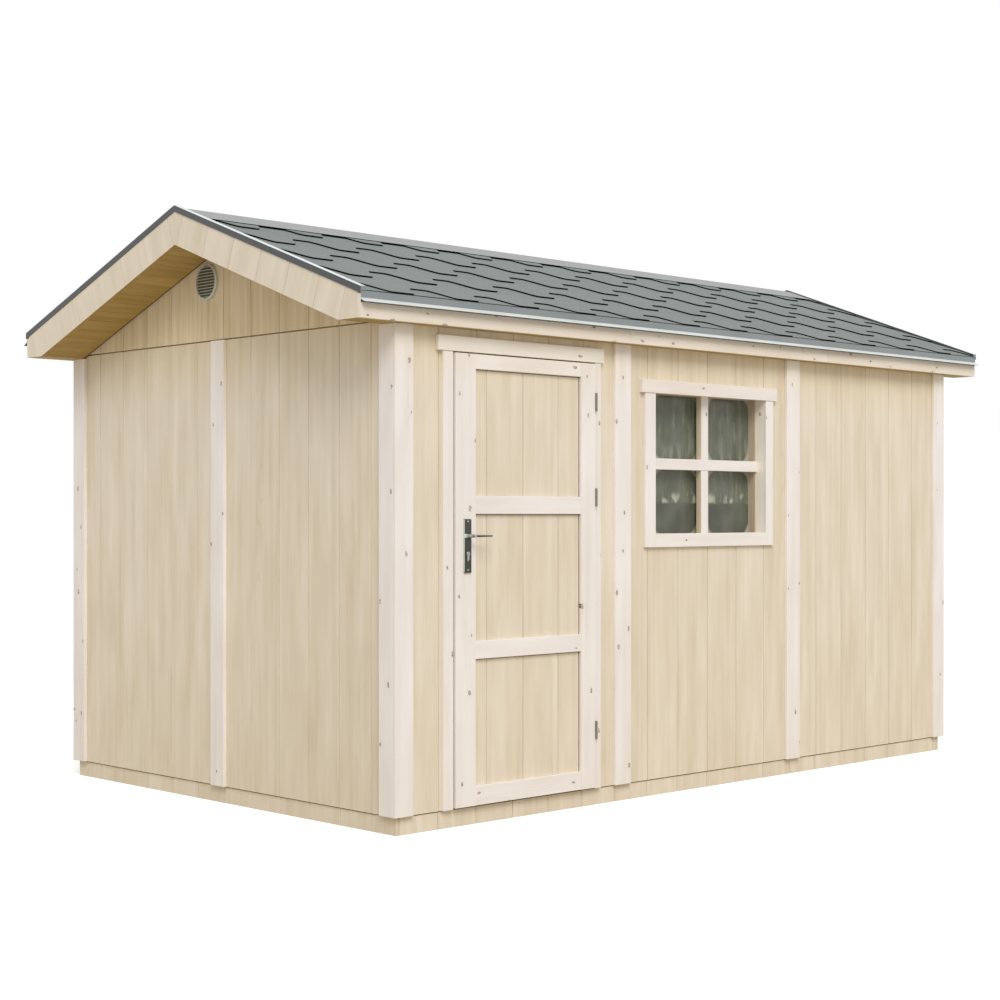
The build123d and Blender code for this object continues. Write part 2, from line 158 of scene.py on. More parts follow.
class Mesher:
    """Collects closed shapes in one mesh, with a material and grain coordinates for each face."""

    def __init__(self):
        self.points = []
        self.faces = []
        self.slots = []
        self.grains = []
        self.grain = lambda p: (0, 0, 0)

    def add(self, points, faces, slots=0):
        """Adds faces over their own points. slots is one material number, or one for each face."""
        start = len(self.points)
        self.points += [Vector(p) for p in points]
        for number, face in enumerate(faces):
            self.faces.append([start + i for i in face])
            self.slots.append(slots if isinstance(slots, int) else slots[number])
            self.grains.append([self.grain(Vector(points[i])) for i in face])

    def loft(self, loops, slots=0, ring=False, caps=True, cap_slot=0):
        """A skin through loops of equal length. slots may name one material for each side."""
        count = len(loops[0])
        points = [p for loop in loops for p in loop]
        faces = []
        kinds = []
        spans = len(loops) if ring else len(loops) - 1
        for row in range(spans):
            here = row * count
            there = (row + 1) % len(loops) * count
            for i in range(count):
                j = (i + 1) % count
                faces.append([here + i, here + j, there + j, there + i])
                kinds.append(slots if isinstance(slots, int) else slots[i])
        if caps and not ring:
            faces.append(list(range(count))[::-1])
            faces.append([(len(loops) - 1) * count + i for i in range(count)])
            kinds += [cap_slot, cap_slot]
        self.add(points, faces, kinds)

    def piece(self, name, materials, node, body="shed", smooth=None):
        """Makes the mesh, and says what it rides on and whose finish it has; it hides the CAD node that it
        stands for.
        """
        mesh = bpy.data.meshes.new(name)
        mesh.from_pydata(self.points, [], self.faces)
        attribute = mesh.attributes.new("grain", "FLOAT_VECTOR", "CORNER")
        flat = [value for face in self.grains for corner in face for value in corner]
        attribute.data.foreach_set("vector", flat)
        mesh.polygons.foreach_set("material_index", self.slots)
        for material in materials:
            mesh.materials.append(material)
        work = bmesh.new()
        work.from_mesh(mesh)
        bmesh.ops.remove_doubles(work, verts=work.verts, dist=WELD)
        bmesh.ops.dissolve_degenerate(work, edges=work.edges, dist=WELD)
        bmesh.ops.recalc_face_normals(work, faces=work.faces)
        work.to_mesh(mesh)
        work.free()
        thing = stand(name, mesh)
        if smooth:
            mesh.shade_smooth()
            mesh.set_sharp_from_angle(angle=radians(smooth))
        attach(thing, body)
        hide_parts(node)


def board_grain(centre, along, across, outward):
    """Grain coordinates of one board cut from a log: metres along it, and from the log's heart."""
    shift = draws.uniform(0, 40)
    aside = draws.uniform(-0.05, 0.05)
    depth = draws.uniform(0.025, 0.09)
    lean = draws.uniform(-0.012, 0.012)

    def grain(p):
        q = p - centre
        reach = q.dot(along)
        return (reach + shift, q.dot(across) + aside, q.dot(outward) + depth + reach * lean)

    return grain


def plank(mesher, low, high, edge=EDGE, slot=0):
    """A board with eased edges between two corners, its grain along its longest side."""
    size = Vector(high) - Vector(low)
    centre = Vector(low) + size / 2
    axes = sorted((X_AXIS, Y_AXIS, Z_AXIS), key=lambda axis: -size.dot(axis))
    mesher.grain = board_grain(centre, *axes)
    eased = min(edge, min(size) * EASED_SHARE)
    work = bmesh.new()
    bmesh.ops.create_cube(work, size=1, matrix=Matrix.Translation(centre) @ Matrix.Diagonal((*size, 1)))
    bmesh.ops.bevel(work, geom=work.edges[:], offset=eased, segments=2, profile=0.6, affect="EDGES")
    work.verts.index_update()
    mesher.add([v.co for v in work.verts], [[v.index for v in f.verts] for f in work.faces], slot)
    work.free()


def islands(node):
    """The lowest and highest corner of each separate solid in a CAD node."""
    work = bmesh.new()
    work.from_mesh(nodes[node].data)
    bmesh.ops.remove_doubles(work, verts=work.verts, dist=TINY)
    left = set(work.verts)
    boxes = []
    while left:
        found = {left.pop()}
        fresh = found
        while fresh:
            fresh = {other for vert in fresh for edge in vert.link_edges for other in edge.verts} & left
            left -= fresh
            found = found | fresh
        points = [vert.co for vert in found]
        boxes.append((Vector(map(min, zip(*points))), Vector(map(max, zip(*points)))))
    work.free()
    return sorted(boxes, key=lambda box: tuple(round(c, 4) for c in box[0]))


def planks(node, material, body="shed", edge=EDGE):
    """Stands eased boards in the place of a CAD node's plain boxes."""
    mesher = Mesher()
    for low, high in islands(node):
        plank(mesher, low, high, edge)
    mesher.piece(node + "_planks", [material], node, body)


def extent(outline, u):
    """The lowest and highest v of a convex outline at u."""
    hits = []
    for (u0, v0), (u1, v1) in zip(outline, outline[1:] + outline[:1]):
        if abs(u1 - u0) < 1e-9:
            continue
        share = (u - u0) / (u1 - u0)
        if -1e-6 <= share <= 1 + 1e-6:
            hits.append(v0 + share * (v1 - v0))
    return min(hits), max(hits)


class Plane:
    """A flat frame: u along a surface, v up it, and depth into the timber."""

    def __init__(self, *frame):
        self.origin, self.u, self.v, self.inward = (Vector(part) for part in frame)

    def at(self, u, v, depth=0.0):
        return self.origin + self.u * u + self.v * v + self.inward * depth


class Hole:
    """A hole through a surface: the columns that bound it, and the v range that it takes at u."""

    def __init__(self, columns, span):
        self.columns = columns
        self.span = span
        self.left = min(columns)
        self.right = max(columns)


def square_hole(left, right, bottom, top):
    return Hole([left, right], lambda u: (bottom, top))


def round_hole(u, v, radius, steps=24):
    columns = [u - radius * cos(pi * step / steps) for step in range(steps + 1)]

    def span(at):
        half = sqrt(max(radius ** 2 - (at - u) ** 2, 0))
        return v - half, v + half

    return Hole(columns, span)


def joints_between(first, low, high, pitch=BOARD_PITCH, clear=0.012):
    """Joint places first + k * pitch that lie inside low..high."""
    start = ceil((low + clear - first) / pitch)
    stop = floor((high - clear - first) / pitch)
    return [first + number * pitch for number in range(start, stop + 1)]


def clad(mesher, plane, outline, joints, thickness, hole=None, grain="v", groove=GROOVE_HALF, slot=0):
    """Boards side by side along u over a convex outline, grooved at their joints, round a hole."""
    low_u = min(u for u, v in outline)
    high_u = max(u for u, v in outline)
    bounds = [low_u] + list(joints) + [high_u]
    corners = [u for u, v in outline]
    for left, right in zip(bounds, bounds[1:]):
        middle = (left + right) / 2
        centre = plane.at(middle, sum(extent(outline, middle)) / 2)
        along, across = (plane.v, plane.u) if grain == "v" else (plane.u, plane.v)
        mesher.grain = board_grain(centre, along, across, -plane.inward)
        cuts = [left, right]
        if hole:
            cuts += [u for u in (hole.left, hole.right) if left + TINY < u < right - TINY]
        cuts.sort()
        for a, b in zip(cuts, cuts[1:]):
            columns = [u for u in corners if a + TINY < u < b - TINY] + [a, b]
            if a == left and left in joints:
                columns.append(a + groove)
            if b == right and right in joints:
                columns.append(b - groove)
            inside = hole is not None and hole.left < (a + b) / 2 < hole.right
            if inside:
                columns += [u for u in hole.columns if a + TINY < u < b - TINY]
            for band in ((0, 1) if inside else (None,)):
                loops = []
                for u in sorted(set(columns)):
                    low_v, high_v = extent(outline, min(max(u, low_u + TINY), high_u - TINY))
                    if band == 0:
                        high_v = hole.span(u)[0]
                    if band == 1:
                        low_v = hole.span(u)[1]
                    depth = GROOVE_DEPTH if u in joints else 0.0
                    front = [plane.at(u, low_v, depth), plane.at(u, high_v, depth)]
                    loops.append([*front, plane.at(u, high_v, thickness), plane.at(u, low_v, thickness)])
                mesher.loft(loops, slot, cap_slot=slot if isinstance(slot, int) else slot[0])


def box_outline(low_u, high_u, low_v, high_v):
    return [(low_u, low_v), (high_u, low_v), (high_u, high_v), (low_u, high_v)]


def timber_z(y):
    """Height of the roof timber's top plane."""
    return ridge_z - rise * abs(y)


def revolve(mesher, centre, axis, profile, steps, slots=0):
    """Turns a closed (radius, distance along the axis) profile about the axis."""
    centre = Vector(centre)
    axis = Vector(axis)
    side = axis.orthogonal().normalized()
    other = axis.cross(side)
    loops = []
    for step in range(steps):
        turn = 2 * pi * step / steps
        spoke = side * cos(turn) + other * sin(turn)
        loops.append([centre + spoke * radius + axis * reach for radius, reach in profile])
    mesher.loft(loops, slots, ring=True, caps=False)


class Graph:
    """The shader nodes of a material or a world."""

    def __init__(self, owner):
        self.owner = owner
        owner.use_nodes = True
        self.tree = owner.node_tree
        self.tree.nodes.clear()

    def add(self, kind, inputs=None, **settings):
        node = self.tree.nodes.new("ShaderNode" + kind)
        for name, value in settings.items():
            setattr(node, name, value)
        for name, value in (inputs or {}).items():
            if isinstance(value, bpy.types.NodeSocket):
                self.tree.links.new(value, node.inputs[name])
            else:
                node.inputs[name].default_value = value
        return node

    def math(self, operation, *values, clamp=False):
        return self.add("Math", dict(enumerate(values)), operation=operation, use_clamp=clamp).outputs[0]

    def times(self, a, b):
        return self.math("MULTIPLY", a, b)

    def plus(self, a, b, clamp=False):
        return self.math("ADD", a, b, clamp=clamp)

    def minus(self, a, b):
        return self.math("SUBTRACT", a, b)

    def away(self, a, b):
        return self.math("ABSOLUTE", self.minus(a, b))

    def madd(self, a, b, c):
        return self.math("MULTIPLY_ADD", a, b, c)

    def vector(self, operation, a, b):
        return self.add("VectorMath", {0: a, 1: b}, operation=operation).outputs[0]

    def place(self):
        return self.add("TexCoord").outputs["Object"]

    def parts(self, vector):
        return self.add("SeparateXYZ", {0: vector}).outputs

    def length(self, vector):
        return self.add("VectorMath", {0: vector}, operation="LENGTH").outputs["Value"]

    def ramp(self, value, low, high, out_low=0.0, out_high=1.0):
        inputs = {"Value": value, "From Min": low, "From Max": high, "To Min": out_low, "To Max": out_high}
        return self.add("MapRange", inputs, interpolation_type="SMOOTHSTEP").outputs[0]

    def scaled(self, vector, scale):
        return self.vector("MULTIPLY", vector, scale)

    def noise(self, vector, scale, detail=2.0, roughness=0.5):
        """Three numbers as a scale stretch the noise."""
        if not isinstance(scale, (int, float)):
            vector = self.scaled(vector, scale)
            scale = 1.0
        inputs = {"Vector": vector, "Scale": scale, "Detail": detail, "Roughness": roughness}
        return self.add("TexNoise", inputs).outputs["Fac"]

    def mix(self, factor, a, b, blend="MIX"):
        node = self.add("Mix", {0: factor}, data_type="RGBA", blend_type=blend)
        for index, value in ((6, a), (7, b)):
            if isinstance(value, bpy.types.NodeSocket):
                self.tree.links.new(value, node.inputs[index])
            else:
                node.inputs[index].default_value = (*value, 1)
        return node.outputs[2]

    def bump(self, height, distance, strength=1.0):
        inputs = {"Height": height, "Distance": distance, "Strength": strength}
        return self.add("Bump", inputs).outputs["Normal"]

    def surface(self, inputs):
        shader = self.add("BsdfPrincipled", inputs)
        self.add("OutputMaterial", {"Surface": shader.outputs[0]})
        return self.owner


def material(name):
    return Graph(bpy.data.materials.new(name))


def linear(red, green, blue):
    """An sRGB colour in 0..255 as linear numbers."""
    channels = [c / 255 for c in (red, green, blue)]
    return tuple(c / 12.92 if c <= 0.04045 else ((c + 0.055) / 1.055) ** 2.4 for c in channels)


# Painted warm shade under the eaves: timber is multiplied yellower between these heights
EAVE_SHADE_LOW = 1.68
EAVE_SHADE_HIGH = 2.06
EAVE_SHADE_TINT = (0.97, 0.91, 0.72)

# Metres from one growth ring to the next
RING = 0.0075


def wood(name, pale, deep, figure=0.5, knots=0.0, knot_size=0.0035, eave_shade=0.0):
    """Planed softwood: soft blotches and streaks, rings that show in places, fine fibres and small knots,
    with painted warm shade towards the eaves where asked.
    """
    g = material(name)
    grain = g.add("Attribute", attribute_name="grain").outputs["Vector"]
    parts = g.parts(grain)
    cell = g.scaled(grain, (1 / KNOT_CELL[0], 1 / KNOT_CELL[1], 0))
    settings = {"Vector": cell, "Scale": 1.0, "Randomness": 1.0}
    voronoi = g.add("TexVoronoi", settings, voronoi_dimensions="2D")
    gap = g.vector("SUBTRACT", cell, voronoi.outputs["Position"])
    ragged = g.minus(g.noise(grain, (180, 320, 40), 2.0, 0.7), 0.5)
    reach = g.length(g.scaled(gap, (KNOT_CELL[0] * 0.55, KNOT_CELL[1], 0)))
    chance = g.add("SeparateColor", {0: voronoi.outputs["Color"]}).outputs
    present = g.math("LESS_THAN", chance[0], knots)
    radius = g.madd(chance[1], knot_size * 0.9, knot_size * 0.45)
    rim = g.minus(g.madd(ragged, knot_size * 2.2, reach), radius)
    disc = g.times(g.ramp(rim, knot_size * 0.4, -knot_size * 0.3), present)
    edge = g.ramp(g.math("ABSOLUTE", rim), knot_size * 0.45, 0.0)
    part = g.ramp(g.noise(grain, (120, 120, 30), 1.0), 0.40, 0.52)
    dark = g.times(g.times(edge, part), present)
    halo = g.times(g.ramp(reach, 0.030, 0.0), present)
    sway = g.noise(grain, (1.9, 11, 11))
    inward = g.madd(sway, 0.045, parts[2])
    heart = g.math("SQRT", g.plus(g.math("POWER", parts[1], 2.0), g.math("POWER", inward, 2.0)))
    turn = g.math("SINE", g.times(g.madd(halo, 0.006, heart), 2 * pi / RING))
    shown = g.ramp(g.noise(grain, (0.8, 17, 17)), 0.45, 0.72)
    late = g.times(g.ramp(turn, 0.45, 1.0), shown)
    fibre = g.noise(grain, (4, 330, 330), 3.0, 0.6)
    streak = g.noise(grain, (0.9, 34, 34), 2.0, 0.55)
    cloud = g.noise(grain, (2.6, 13, 13))
    tone = g.noise(grain, (0.15, 0.6, 0.6), 0.0)
    share = g.times(late, 0.42 * figure)
    for texture, weight in ((fibre, 0.4 * figure), (streak, 1.5 * figure), (cloud, 1.0), (tone, 0.35)):
        share = g.plus(share, g.times(g.minus(texture, 0.5), weight))
    share = g.plus(share, 0.33, clamp=True)
    deep = linear(*deep)
    colour = g.mix(share, linear(*pale), deep)
    # Painted shade: the colour is multiplied yellower with height towards the eaves, standing in for the
    # shade under the roof.
    if eave_shade:
        height = g.parts(g.place())[2]
        shade_share = g.times(g.ramp(height, EAVE_SHADE_LOW, EAVE_SHADE_HIGH), eave_shade)
        colour = g.mix(shade_share, colour, EAVE_SHADE_TINT, blend="MULTIPLY")
    colour = g.mix(g.times(halo, 0.16), colour, deep)
    colour = g.mix(g.times(disc, 0.6), colour, linear(160, 134, 112))
    colour = g.mix(dark, colour, linear(58, 44, 34))
    height = g.plus(g.times(fibre, 0.6), g.times(late, 0.4))
    normal = g.bump(height, 0.0006, 0.5)
    rough = g.ramp(share, 0, 1, 0.57, 0.70)
    inputs = {"Base Color": colour, "Roughness": rough, "Normal": normal, "Specular IOR Level": 0.25}
    return g.surface(inputs)


def shingle(name, colour, light, grit=0.16, specular=0.3):
    """Mineral granules on felt: pale and dark grains over slow cloudy tone."""
    g = material(name)
    place = g.place()
    cloud = g.noise(place, 2.2, 3.0)
    grains = g.noise(place, 420, 2.0, 0.7)
    grid = g.add("TexVoronoi", {"Vector": place, "Scale": 330.0})
    tone = g.add("SeparateColor", {0: grid.outputs["Color"]}).outputs[0]
    share = g.plus(g.times(g.minus(cloud, 0.5), 0.6), g.times(tone, grit * 2))
    share = g.plus(share, g.times(g.minus(grains, 0.5), grit * 4))
    share = g.plus(share, 0.35, clamp=True)
    normal = g.bump(g.plus(tone, grains), 0.0009, 0.6)
    return g.surface({
        "Base Color": g.mix(share, linear(*colour), linear(*light)),
        "Roughness": g.ramp(tone, 0, 1, 0.82, 0.95),
        "Normal": normal,
        "Specular IOR Level": specular,
    })


def coat(name, colour, roughness=0.4, metallic=0.0, wear=0.12, scale=30.0):
    """Painted, plated or moulded: a slow change of tone, fine mottling and slight unevenness."""
    g = material(name)
    place = g.place()
    slow = g.noise(place, scale * 0.15, 3.0)
    fine = g.noise(place, scale * 12, 3.0, 0.65)
    colour = linear(*colour)
    darker = tuple(c * (1 - 2 * wear) for c in colour)
    paler = tuple(min(c * (1 + 2 * wear) + 0.01 * wear, 1) for c in colour)
    share = g.plus(g.times(slow, 0.7), g.times(fine, 0.3), clamp=True)
    return g.surface({
        "Base Color": g.mix(share, darker, paler),
        "Roughness": g.ramp(fine, 0.2, 0.8, max(roughness - 0.08, 0.05), roughness + 0.1),
        "Metallic": metallic,
        "Specular IOR Level": 0.5,
        "Normal": g.bump(fine, 0.0002, 0.25),
    })


def pane_material():
    """Nearly opaque glass, painted: a dark room's shade as the base, and painted reflections of pale soft
    pane corners, upright streaks above and blots under the bar.
    """
    g = material("window_pane")
    place = g.place()
    parts = g.parts(place)
    wobble = g.minus(g.noise(place, (9, 1, 9)), 0.5)
    corners = []
    levels = ((parts[0], REFLECTION_CORNER_X, REFLECTION_CORNER_OFFSET, REFLECTION_CORNER_HALF), (parts[2], bar_z, PANE_HALF + BAR / 2, PANE_HALF))
    for value, middle, offset, half in levels:
        share = g.math("DIVIDE", g.minus(g.away(value, middle), offset), half)
        corners.append(g.math("POWER", g.math("ABSOLUTE", share), 4.0))
    corner = g.ramp(g.madd(wobble, 0.7, g.plus(*corners)), 1.0, 1.55)
    band_z = bar_z - BAR / 2 - REFLECTION_BLOT_DROP
    above = g.ramp(parts[2], band_z - 0.012, band_z + 0.004)
    streaks = g.times(g.ramp(g.noise(place, (30, 1, 6), 3.0, 0.6), 0.46, 0.74), above)
    height = g.away(parts[2], band_z + 0.012)
    lower = g.ramp(g.noise(place, (26, 1, 14), 1.0), 0.47, 0.62)
    blots = g.times(g.times(lower, g.ramp(height, 0.040, 0.006)), above)
    foot = g.ramp(parts[2], bar_z + BAR / 2 + 0.10, bar_z + BAR / 2)
    flames = g.ramp(g.noise(place, (24, 1, 4), 1.0), 0.5, 0.66)
    flames = g.times(g.times(flames, foot), g.math("GREATER_THAN", parts[2], bar_z))
    # Painted shade: the dark, unlit room seen through the glass, as the base colour.
    slow = g.noise(place, (6, 1, 5))
    colour = g.mix(g.ramp(slow, 0.35, 0.68), linear(80, 81, 70), linear(104, 107, 94))
    # Painted reflections laid over that base.
    painted_reflections = (
        (above, 0.3, (122, 128, 110)),
        (streaks, 0.45, (150, 154, 136)),
        (flames, 0.45, (164, 168, 150)),
        (blots, 0.62, (206, 204, 186)),
        (corner, 0.8, (192, 192, 178)),
    )
    for shape, weight, tint in painted_reflections:
        colour = g.mix(g.times(shape, weight), colour, linear(*tint))
    return g.surface({"Base Color": colour, "Roughness": 0.14, "Specular IOR Level": 0.35, "Alpha": 0.97})


wall_wood = wood("wall_wood", (233, 221, 203), (208, 192, 163), figure=0.5, eave_shade=0.65)
trim_wood = wood("trim_wood", (243, 237, 233), (224, 212, 202), 0.4, 0.5, 0.0042, eave_shade=0.55)
gable_wood = wood("gable_wood", (230, 212, 178), (204, 182, 136), figure=1.1)
barge_wood = wood("barge_wood", (233, 221, 203), (208, 192, 163), figure=0.25)
lining_wood = wood("lining_wood", (251, 244, 231), (234, 221, 203), 0.6, knots=0.3, knot_size=0.0042)
# Painted shade: dark brown for the recessed strip in the joint beside the gable wall.
gap_shade_wood = wood("gap_shade_wood", (112, 86, 40), (80, 60, 26), 0.5)
# Painted shade: a darker copy of the trim for the sides of the window bars.
bar_side_shade_wood = wood("bar_side_shade_wood", (226, 212, 184), (200, 180, 148), 0.8)
# Painted shade: a darker, browner copy of the lining for the sash deep in the reveal.
sash_shade_wood = wood("sash_shade_wood", (204, 188, 166), (168, 150, 124), 1.0)
# Painted shade: a darker, yellower copy of the wall timber for the boards under the overhang and the barge
# boards' undersides.
soffit_shade_wood = wood("soffit_shade_wood", (190, 160, 98), (154, 124, 64), 0.7, knots=0.05)
floor_wood = wood("floor_wood", (216, 198, 162), (186, 162, 120), 0.8, knots=0.25, knot_size=0.008)
fascia_wood = wood("fascia_wood", (238, 227, 212), (218, 202, 180), 0.45, knots=0.7, knot_size=0.0042)
shingle_face = shingle("shingle_face", (118, 124, 122), (141, 147, 145))
# Near-black butts: the bitumen edge's own dark, deepened as painted shade on faces that turn downhill.
shingle_butt = shingle("shingle_butt", (5, 6, 6), (14, 15, 15), specular=0.05)
cap_face = shingle("cap_face", (152, 155, 154), (171, 173, 172), 0.1)
flashing_face = coat("flashing_face", (70, 72, 72), 0.42)
# Painted highlight: a pale copy of the dark flashing for its top and fold.
flashing_top_highlight = coat("flashing_top_highlight", (214, 220, 220), 0.35)
drip_face = coat("drip_face", (132, 138, 138), 0.45)
# Painted highlight: a pale copy of the drip sheet for its outward-turned nose.
drip_nose_highlight = coat("drip_nose_highlight", (214, 218, 214), 0.45)
dark_metal = coat("dark_metal", (70, 72, 66), 0.38, metallic=0.5, scale=120.0)
pale_metal = coat("pale_metal", (176, 178, 172), 0.38, metallic=0.5, scale=120.0)
edge_metal = coat("edge_metal", (204, 211, 201), 0.4, wear=0.06, scale=120.0)
hinge_metal = coat("hinge_metal", (132, 126, 112), 0.45, metallic=0.2, wear=0.06, scale=120.0)
# Painted shade: near black for screw recesses and key slots.
painted_recess_shade = coat("painted_recess_shade", (22, 22, 20), 0.6)
vent_plastic = coat("vent_plastic", (194, 196, 184), 0.5, wear=0.05, scale=60.0)
vent_shade = coat("vent_shade", (88, 80, 52), 0.7, wear=0.05, scale=60.0)
pane_glass = pane_material()


# Walls. Sides and ends are numbered by the sign of Y and X
SIDES = {-1: "front", 1: "back"}
ENDS = {-1: "left", 1: "right"}
WALL_CORE = wall_side - inner_side - 2 * SKIN
GABLE_REVEAL = 0.006
HOLE_SLACK = 0.0003
VENT_PIPE_RADIUS = 0.062
vent_low, vent_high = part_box("gable_vents")
vent_centre = (vent_low + vent_high) / 2


def long_plane(side, distance, inward=1):
    """An upright plane along X, on the front (-1) or the back (1)."""
    return Plane((0, side * distance, 0), X_AXIS, Z_AXIS, (0, -side * inward, 0))


def end_plane(end, distance, inward=1):
    """An upright plane along Y, on the left (-1) or the right (1)."""
    return Plane((end * distance, 0, 0), Y_AXIS, Z_AXIS, (-end * inward, 0, 0))


def long_wall(node, side, hole=None):
    """Boards outside and inside, and the plain core between them."""
    low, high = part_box(node)
    left = max(low.x, -wall_end + SKIN)
    right = min(high.x, wall_end - SKIN)
    inner_left = max(low.x, -inner_end)
    inner_right = min(high.x, inner_end)
    mesher = Mesher()
    outline = box_outline(left, right, low.z, timber_z(wall_side))
    joints = joints_between(LONG_JOINT, left, right)
    clad(mesher, long_plane(side, wall_side), outline, joints, SKIN, hole)
    clad(mesher, long_plane(side, wall_side - SKIN), outline, [], WALL_CORE, hole)
    outline = box_outline(inner_left, inner_right, low.z, timber_z(inner_side + SKIN))
    joints = joints_between(LONG_JOINT, inner_left, inner_right)
    clad(mesher, long_plane(side, inner_side, -1), outline, joints, SKIN, hole)
    mesher.piece(node + "_boards", [wall_wood], node)


def gable_outline(half, low_z):
    eave = timber_z(half)
    return [(-half, low_z), (half, low_z), (half, eave), (0, timber_z(0)), (-half, eave)]


def end_boards(node, end, outer, inner, timber, hole=None):
    """An end wall or a gable: boards outside and inside, and the plain core between them."""
    low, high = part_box(node)
    mesher = Mesher()
    joints = joints_between(END_JOINT, -wall_side, wall_side)
    clad(mesher, end_plane(end, wall_end), outer, joints, SKIN, hole)
    joints = joints_between(END_JOINT, low.y, high.y)
    clad(mesher, end_plane(end, wall_end - SKIN), inner, [], WALL_CORE, hole)
    clad(mesher, end_plane(end, inner_end, -1), inner, joints, SKIN, hole)
    mesher.piece(node + "_boards", [timber], node)


window_hole = square_hole(window_low.x, window_high.x, window_low.z, window_high.z)
vent_hole = round_hole(vent_centre.y, vent_centre.z, VENT_PIPE_RADIUS + HOLE_SLACK)
for wall in ("front_wall_left", "front_wall_over_door", "front_wall_right"):
    long_wall(wall, -1)
long_wall("front_wall_window", -1, window_hole)
long_wall("back_wall", 1)
for end, name in ENDS.items():
    low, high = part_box(name + "_wall")
    outer = box_outline(-wall_side, wall_side, low.z, high.z)
    inner = box_outline(low.y, high.y, low.z, high.z)
    end_boards(name + "_wall", end, outer, inner, wall_wood)
    low_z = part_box(name + "_gable")[0].z
    outer = gable_outline(wall_side, low_z + GABLE_REVEAL)
    inner = gable_outline(inner_side, low_z)
    end_boards(name + "_gable", end, outer, inner, gable_wood, vent_hole)


# Base boards and floor
PLINTH_BOARD = 0.028
PLINTH_REVEAL = 0.0045
PLINTH_LAP = 0.016
FLOOR_PITCH = 0.121
FLOOR_GROOVE = 0.001


def plinth(kind, axis, plane, first_joint, laps=()):
    """Base boards on both sides, along X (axis 0) or Y (axis 1)."""
    node = f"plinth_{kind}_boards"
    low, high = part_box(node)
    left, right = low[axis], high[axis]
    joints = joints_between(first_joint, left, right)
    joints = [left + lap for lap in laps] + joints + [right - lap for lap in laps]
    outline = box_outline(left, right, low.z, high.z - PLINTH_REVEAL)
    mesher = Mesher()
    for side in SIDES:
        clad(mesher, plane(side, high[1 - axis]), outline, joints, PLINTH_BOARD)
    mesher.piece(f"plinth_{kind}_planks", [wall_wood], node)


def floor_boards():
    low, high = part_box("floor")
    plane = Plane((0, 0, high.z), Y_AXIS, X_AXIS, -Z_AXIS)
    mesher = Mesher()
    joints = joints_between(low.y, low.y, high.y, FLOOR_PITCH)
    outline = box_outline(low.y, high.y, low.x, high.x)
    clad(mesher, plane, outline, joints, high.z - low.z, groove=FLOOR_GROOVE)
    mesher.piece("floor_boards", [floor_wood], "floor")


plinth("long", 0, long_plane, LONG_JOINT, (PLINTH_LAP,))
plinth("end", 1, end_plane, END_JOINT)
floor_boards()
planks("floor_bearers", floor_wood)


# Trim, in the order front, back, end
for kind in ("corner_boards", "battens"):
    for name in ("front", "back", "end"):
        planks(f"{name}_{kind}", trim_wood)
planks("eave_soffits", soffit_shade_wood)
for node in ("door_casings", "door_head_board", "window_head_board"):
    planks(node, trim_wood)


# Roof
level_cut_y = (ridge_z - BARGE_DEPTH - eave_z) / rise
DECK_PITCH = 0.135
BARGE = 0.018
BARGE_GROOVE = 0.0016
SOFFIT_GROOVE = 0.0012
FASCIA_GROOVE = 0.0008
SOFFIT = 0.012
SOFFIT_PITCH = 0.098
SOFFIT_GAP = 0.012
SOFFIT_STEP = 0.004
BARGE_JOINTS = [0.063, 0.266, 0.468, 0.670, 0.873, 1.075, 1.248]
FASCIA_JOINTS = [-0.607, 0.6005, 0.798, 1.723]


def slope_plane(side, height=0.0):
    """The roof's plane on one side: u down the slope, v along X, depth away from the room."""
    up = Vector((0, side * slope_sin, slope_cos))
    origin = Vector((0, 0, ridge_z)) + up * height
    return Plane(origin, (0, side * slope_cos, -slope_sin), X_AXIS, up)


def roof_deck(side):
    name = "roof_deck_" + SIDES[side]
    low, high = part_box(name)
    reach = eave_y / slope_cos - DECK * rise
    mesher = Mesher()
    joints = joints_between(0, 0, reach, DECK_PITCH)
    clad(mesher, slope_plane(side), box_outline(0, reach, low.x, high.x), joints, DECK)
    mesher.piece(name + "_boards", [floor_wood], name)


def barge_boards(side):
    """Short boards set square to the slope, their lower ends cut level at the eave, their undersides painted
    in the soffit's darker shade.
    """
    name = SIDES[side] + "_barge_boards"
    inner = eave_y - BARGE
    foot = eave_z - ridge_z
    corners = [(0, 0), (0, -BARGE_DEPTH), (level_cut_y, foot), (inner, foot), (inner, -rise * inner)]
    outline = [(y * slope_cos - z * slope_sin, y * slope_sin + z * slope_cos) for y, z in corners]
    mesher = Mesher()
    for end in (-1, 1):
        down = (0, side * slope_cos, -slope_sin)
        plane = Plane((end * barge_x, 0, ridge_z), down, (0, side * slope_sin, slope_cos), (-end, 0, 0))
        # The last side, the board's underside, takes the soffit timber as painted shade.
        clad(mesher, plane, outline, BARGE_JOINTS, BARGE, groove=BARGE_GROOVE, slot=[0, 0, 0, 1])
    mesher.piece(name + "_boards", [barge_wood, soffit_shade_wood], name)


